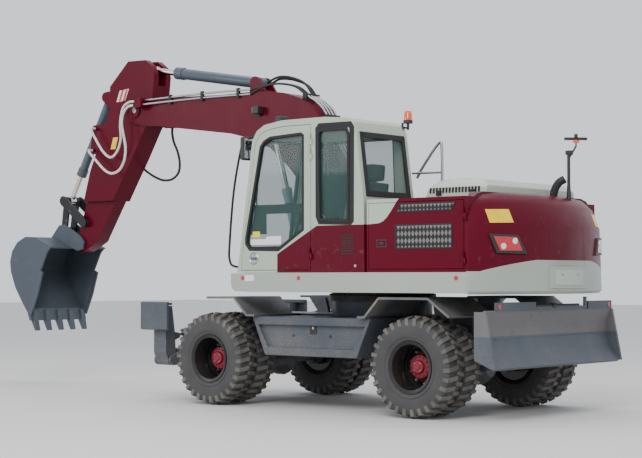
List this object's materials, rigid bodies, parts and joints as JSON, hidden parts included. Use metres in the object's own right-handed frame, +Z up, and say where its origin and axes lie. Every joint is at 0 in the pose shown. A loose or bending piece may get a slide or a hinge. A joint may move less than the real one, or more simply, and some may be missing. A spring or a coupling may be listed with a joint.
{
  "type": "wheeled excavator",
  "caption": "Wheeled excavator with twin tyres, slewing upper body with cab, bent boom, arm and digging bucket, front outriggers and a rear dozer blade.",
  "frame": {"origin": "on the ground, in the middle of the whole machine's length and width as it is parked with its arm out ahead", "axes": "+X towards the bucket, +Y to the operator's left, +Z up"},
  "size_m": [8.35, 2.546, 4.2],
  "materials": {
    "maroon": "gloss",
    "pale_grey": "satin",
    "chassis_grey": "satin",
    "black_steel": "matt",
    "crimson": "satin",
    "rubber": "matt",
    "steel_blue": "satin",
    "chrome": "polished",
    "cloth": "woven",
    "sleeve": "matt",
    "engine": "matt",
    "hose": "matt",
    "dark_paint": "satin",
    "glass": "clear",
    "black_plastic": "fine grain",
    "red_lens": "clear",
    "amber_lens": "clear",
    "yellow_decal": "smooth",
    "white_paint": "satin",
    "bright_steel": "brushed",
    "mirror": "polished",
    "tread_dust": "dusty"
  },
  "bodies": {
    "chassis": {"chassis_frame": "chassis_grey", "front_axle": "black_steel", "rear_axle": "black_steel", "side_box_left": "chassis_grey", "side_box_right": "chassis_grey", "fender_front_left": "chassis_grey", "fender_front_right": "chassis_grey", "fender_rear_left": "chassis_grey", "fender_rear_right": "chassis_grey"},
    "knuckle_left": {"knuckle_left": "black_steel"},
    "knuckle_right": {"knuckle_right": "black_steel"},
    "blade_lower_link": {"blade_lower_link": "chassis_grey"},
    "blade_upper_link": {"blade_upper_link": "chassis_grey"},
    "blade": {"blade": "chassis_grey"},
    "blade_cylinder": {"blade_cylinder": "chassis_grey"},
    "blade_rod": {"blade_rod": "chrome"},
    "upper": {"upper_frame": "pale_grey", "counterweight": "maroon", "engine_bay": "maroon", "right_tank": "maroon", "engine_block": "engine", "cab_shell": "pale_grey", "operator_chair": "cloth"},
    "cab_door": {"cab_door": "pale_grey"},
    "service_door_left": {"service_door_left": "maroon"},
    "service_door_right": {"service_door_right": "maroon"},
    "engine_hood": {"engine_hood": "pale_grey"},
    "boom": {"boom": "maroon", "sleeve_hose_short": "sleeve", "sleeve_hose_long": "sleeve", "black_hose": "hose"},
    "boom_cylinders": {"boom_cylinders": "chassis_grey"},
    "boom_rods": {"boom_rod_left": "chrome", "boom_rod_right": "chrome"},
    "arm": {"arm": "maroon"},
    "arm_cylinder": {"arm_cylinder": "steel_blue"},
    "arm_rod": {"arm_rod": "chrome"},
    "bucket": {"bucket": "chassis_grey"},
    "bucket_rocker": {"bucket_rocker": "chassis_grey"},
    "bucket_link": {"bucket_link": "chassis_grey"},
    "bucket_cylinder": {"bucket_cylinder": "steel_blue"},
    "bucket_rod": {"bucket_rod": "chrome"},
    "wheel_front_left": {"tyre_front_left_outer": "rubber", "tyre_front_left_inner": "rubber", "rim_front_left": "crimson"},
    "wheel_front_right": {"tyre_front_right_outer": "rubber", "tyre_front_right_inner": "rubber", "rim_front_right": "crimson"},
    "wheel_rear_left": {"tyre_rear_left_outer": "rubber", "tyre_rear_left_inner": "rubber", "rim_rear_left": "crimson"},
    "wheel_rear_right": {"tyre_rear_right_outer": "rubber", "tyre_rear_right_inner": "rubber", "rim_rear_right": "crimson"},
    "outrigger_leg_left": {"outrigger_leg_left": "chassis_grey"},
    "outrigger_cylinder_left": {"outrigger_cylinder_left": "chassis_grey"},
    "outrigger_rod_left": {"outrigger_rod_left": "chrome"},
    "outrigger_leg_right": {"outrigger_leg_right": "chassis_grey"},
    "outrigger_cylinder_right": {"outrigger_cylinder_right": "chassis_grey"},
    "outrigger_rod_right": {"outrigger_rod_right": "chrome"}
  },
  "joints": [
    {"name": "steer_left", "type": "hinge", "parent": "chassis", "child": "knuckle_left", "pos_m": [-0.23, 0.55, 0.52051], "axis": [0, 0, 1], "range_deg": [-19.5, 19.5]},
    {"name": "steer_right", "type": "hinge", "parent": "chassis", "child": "knuckle_right", "pos_m": [-0.23, -0.55, 0.52051], "axis": [0, 0, 1], "range_deg": [-19.51, 19.51]},
    {"name": "front_left_spin", "type": "hinge", "parent": "knuckle_left", "child": "wheel_front_left", "pos_m": [-0.23, 0.945, 0.52051], "axis": [0, 1, 0], "continuous": true},
    {"name": "front_right_spin", "type": "hinge", "parent": "knuckle_right", "child": "wheel_front_right", "pos_m": [-0.23, -0.945, 0.52051], "axis": [0, 1, 0], "continuous": true},
    {"name": "rear_left_spin", "type": "hinge", "parent": "chassis", "child": "wheel_rear_left", "pos_m": [-3.03, 0.945, 0.52051], "axis": [0, 1, 0], "continuous": true},
    {"name": "rear_right_spin", "type": "hinge", "parent": "chassis", "child": "wheel_rear_right", "pos_m": [-3.03, -0.945, 0.52051], "axis": [0, 1, 0], "continuous": true},
    {"name": "blade_lift", "type": "hinge", "parent": "chassis", "child": "blade_lower_link", "pos_m": [-3.35, 0, 0.5], "axis": [0, -1, 0], "range_deg": [0, 75]},
    {"name": "blade_upper_lift", "type": "hinge", "parent": "chassis", "child": "blade_upper_link", "pos_m": [-3.35, 0, 0.74], "axis": [0, -1, 0], "range_deg": [0, 75.01]},
    {"name": "blade_level", "type": "hinge", "parent": "blade_lower_link", "child": "blade", "pos_m": [-3.776, 0, 0.798], "axis": [0, -1, 0], "range_deg": [-75.01, 0]},
    {"name": "blade_cylinder_swing", "type": "hinge", "parent": "chassis", "child": "blade_cylinder", "pos_m": [-3.13, 0, 0.98], "axis": [0, -1, 0], "range_deg": [0, 27.83]},
    {"name": "blade_rod_slide", "type": "slide", "parent": "blade_cylinder", "child": "blade_rod", "axis": [-0.9092, 0, -0.4164], "range_m": [0, 0.3135]},
    {"name": "outrigger_left_swing", "type": "hinge", "parent": "chassis", "child": "outrigger_leg_left", "pos_m": [0.632, 1.05, 0.47], "axis": [-1, 0, 0], "range_deg": [0, 110]},
    {"name": "outrigger_left_cylinder_swing", "type": "hinge", "parent": "chassis", "child": "outrigger_cylinder_left", "pos_m": [0.632, 0.12, 0.92], "axis": [-1, 0, 0], "range_deg": [0, 3.23]},
    {"name": "outrigger_left_rod_slide", "type": "slide", "parent": "outrigger_cylinder_left", "child": "outrigger_rod_left", "axis": [0, 0.9771, -0.213], "range_m": [0, 0.5341]},
    {"name": "outrigger_right_swing", "type": "hinge", "parent": "chassis", "child": "outrigger_leg_right", "pos_m": [0.632, -1.05, 0.47], "axis": [1, 0, 0], "range_deg": [0, 110]},
    {"name": "outrigger_right_cylinder_swing", "type": "hinge", "parent": "chassis", "child": "outrigger_cylinder_right", "pos_m": [0.632, -0.12, 0.92], "axis": [1, 0, 0], "range_deg": [0, 3.23]},
    {"name": "outrigger_right_rod_slide", "type": "slide", "parent": "outrigger_cylinder_right", "child": "outrigger_rod_right", "axis": [0, -0.9771, -0.213], "range_m": [0, 0.5341]},
    {"name": "slew", "type": "hinge", "parent": "chassis", "child": "upper", "pos_m": [-1.75, 0, 1.165], "axis": [0, 0, 1], "continuous": true},
    {"name": "cab_door_swing", "type": "hinge", "parent": "upper", "child": "cab_door", "pos_m": [-1.738, 1.261, 2.25], "axis": [0, 0, 1], "range_deg": [0, 160]},
    {"name": "service_door_left_swing", "type": "hinge", "parent": "upper", "child": "service_door_left", "pos_m": [-3.708, 1.261, 1.85], "axis": [0, 0, 1], "range_deg": [0, 100]},
    {"name": "service_door_right_swing", "type": "hinge", "parent": "upper", "child": "service_door_right", "pos_m": [-3.708, -1.261, 1.85], "axis": [0, 0, -1], "range_deg": [0, 100]},
    {"name": "hood_lift", "type": "hinge", "parent": "upper", "child": "engine_hood", "pos_m": [-2.93, 0, 2.24], "axis": [0, 1, 0], "range_deg": [0, 57]},
    {"name": "boom_lift", "type": "hinge", "parent": "upper", "child": "boom", "pos_m": [-1.6, 0, 1.8], "axis": [0, -1, 0], "range_deg": [-38, 22]},
    {"name": "boom_cylinder_swing", "type": "hinge", "parent": "upper", "child": "boom_cylinders", "pos_m": [-0.83, 0, 1.44], "axis": [0, -1, 0], "range_deg": [-38.88, 22.52]},
    {"name": "boom_rod_slide", "type": "slide", "parent": "boom_cylinders", "child": "boom_rods", "axis": [0.2692, 0, 0.9631], "range_m": [-0.5456, 0.3159]},
    {"name": "arm_swing", "type": "hinge", "parent": "boom", "child": "arm", "pos_m": [2.07, 0, 3.55], "axis": [0, 1, 0], "range_deg": [-34, 50]},
    {"name": "arm_cylinder_swing", "type": "hinge", "parent": "boom", "child": "arm_cylinder", "pos_m": [0.09, 0, 3.76], "axis": [0, 1, 0], "range_deg": [-0.34, 0.23]},
    {"name": "arm_rod_slide", "type": "slide", "parent": "arm_cylinder", "child": "arm_rod", "axis": [0.9859, 0, 0.1671], "range_m": [-0.2899, 0.4262]},
    {"name": "bucket_curl", "type": "hinge", "parent": "arm", "child": "bucket", "pos_m": [3.19, 0, 1.87], "axis": [0, 1, 0], "range_deg": [-30, 115]},
    {"name": "rocker_swing", "type": "hinge", "parent": "arm", "child": "bucket_rocker", "pos_m": [3.09, 0, 2.15], "axis": [0, 1, 0], "range_deg": [-22.4, 85.83]},
    {"name": "link_swing", "type": "hinge", "parent": "bucket_rocker", "child": "bucket_link", "pos_m": [3.49, 0, 2.45], "axis": [0, 1, 0], "range_deg": [-48.67, 12.71]},
    {"name": "bucket_cylinder_swing", "type": "hinge", "parent": "arm", "child": "bucket_cylinder", "pos_m": [2.73, 0, 3.78], "axis": [0, 1, 0], "range_deg": [-2.01, 7.65]},
    {"name": "bucket_rod_slide", "type": "slide", "parent": "bucket_cylinder", "child": "bucket_rod", "axis": [0.4961, 0, -0.8682], "range_m": [-0.1741, 0.6669]}
  ],
  "couplings": [
    {"joint": "steer_right", "follows": "steer_left", "ratio": 1},
    {"joint": "blade_upper_lift", "follows": "blade_lift", "ratio": 1},
    {"joint": "blade_level", "follows": "blade_lift", "ratio": -1},
    {"joint": "blade_cylinder_swing", "follows": "blade_lift", "ratio": 0.37083},
    {"joint": "blade_rod_slide", "follows": "blade_lift", "m_per_rad": 0.23935},
    {"joint": "outrigger_left_cylinder_swing", "follows": "outrigger_left_swing", "ratio": 0.02922},
    {"joint": "outrigger_left_rod_slide", "follows": "outrigger_left_swing", "m_per_rad": 0.27811},
    {"joint": "outrigger_right_cylinder_swing", "follows": "outrigger_right_swing", "ratio": 0.02922},
    {"joint": "outrigger_right_rod_slide", "follows": "outrigger_right_swing", "m_per_rad": 0.27811},
    {"joint": "boom_cylinder_swing", "follows": "boom_lift", "ratio": 1.0229},
    {"joint": "boom_rod_slide", "follows": "boom_lift", "m_per_rad": 0.82245},
    {"joint": "arm_cylinder_swing", "follows": "arm_swing", "ratio": -0.00647},
    {"joint": "arm_rod_slide", "follows": "arm_swing", "m_per_rad": 0.48824},
    {"joint": "rocker_swing", "follows": "bucket_curl", "ratio": 0.74622},
    {"joint": "link_swing", "follows": "bucket_curl", "ratio": -0.42305},
    {"joint": "bucket_cylinder_swing", "follows": "bucket_curl", "ratio": 0.0664},
    {"joint": "bucket_rod_slide", "follows": "bucket_curl", "m_per_rad": 0.33221}
  ]
}
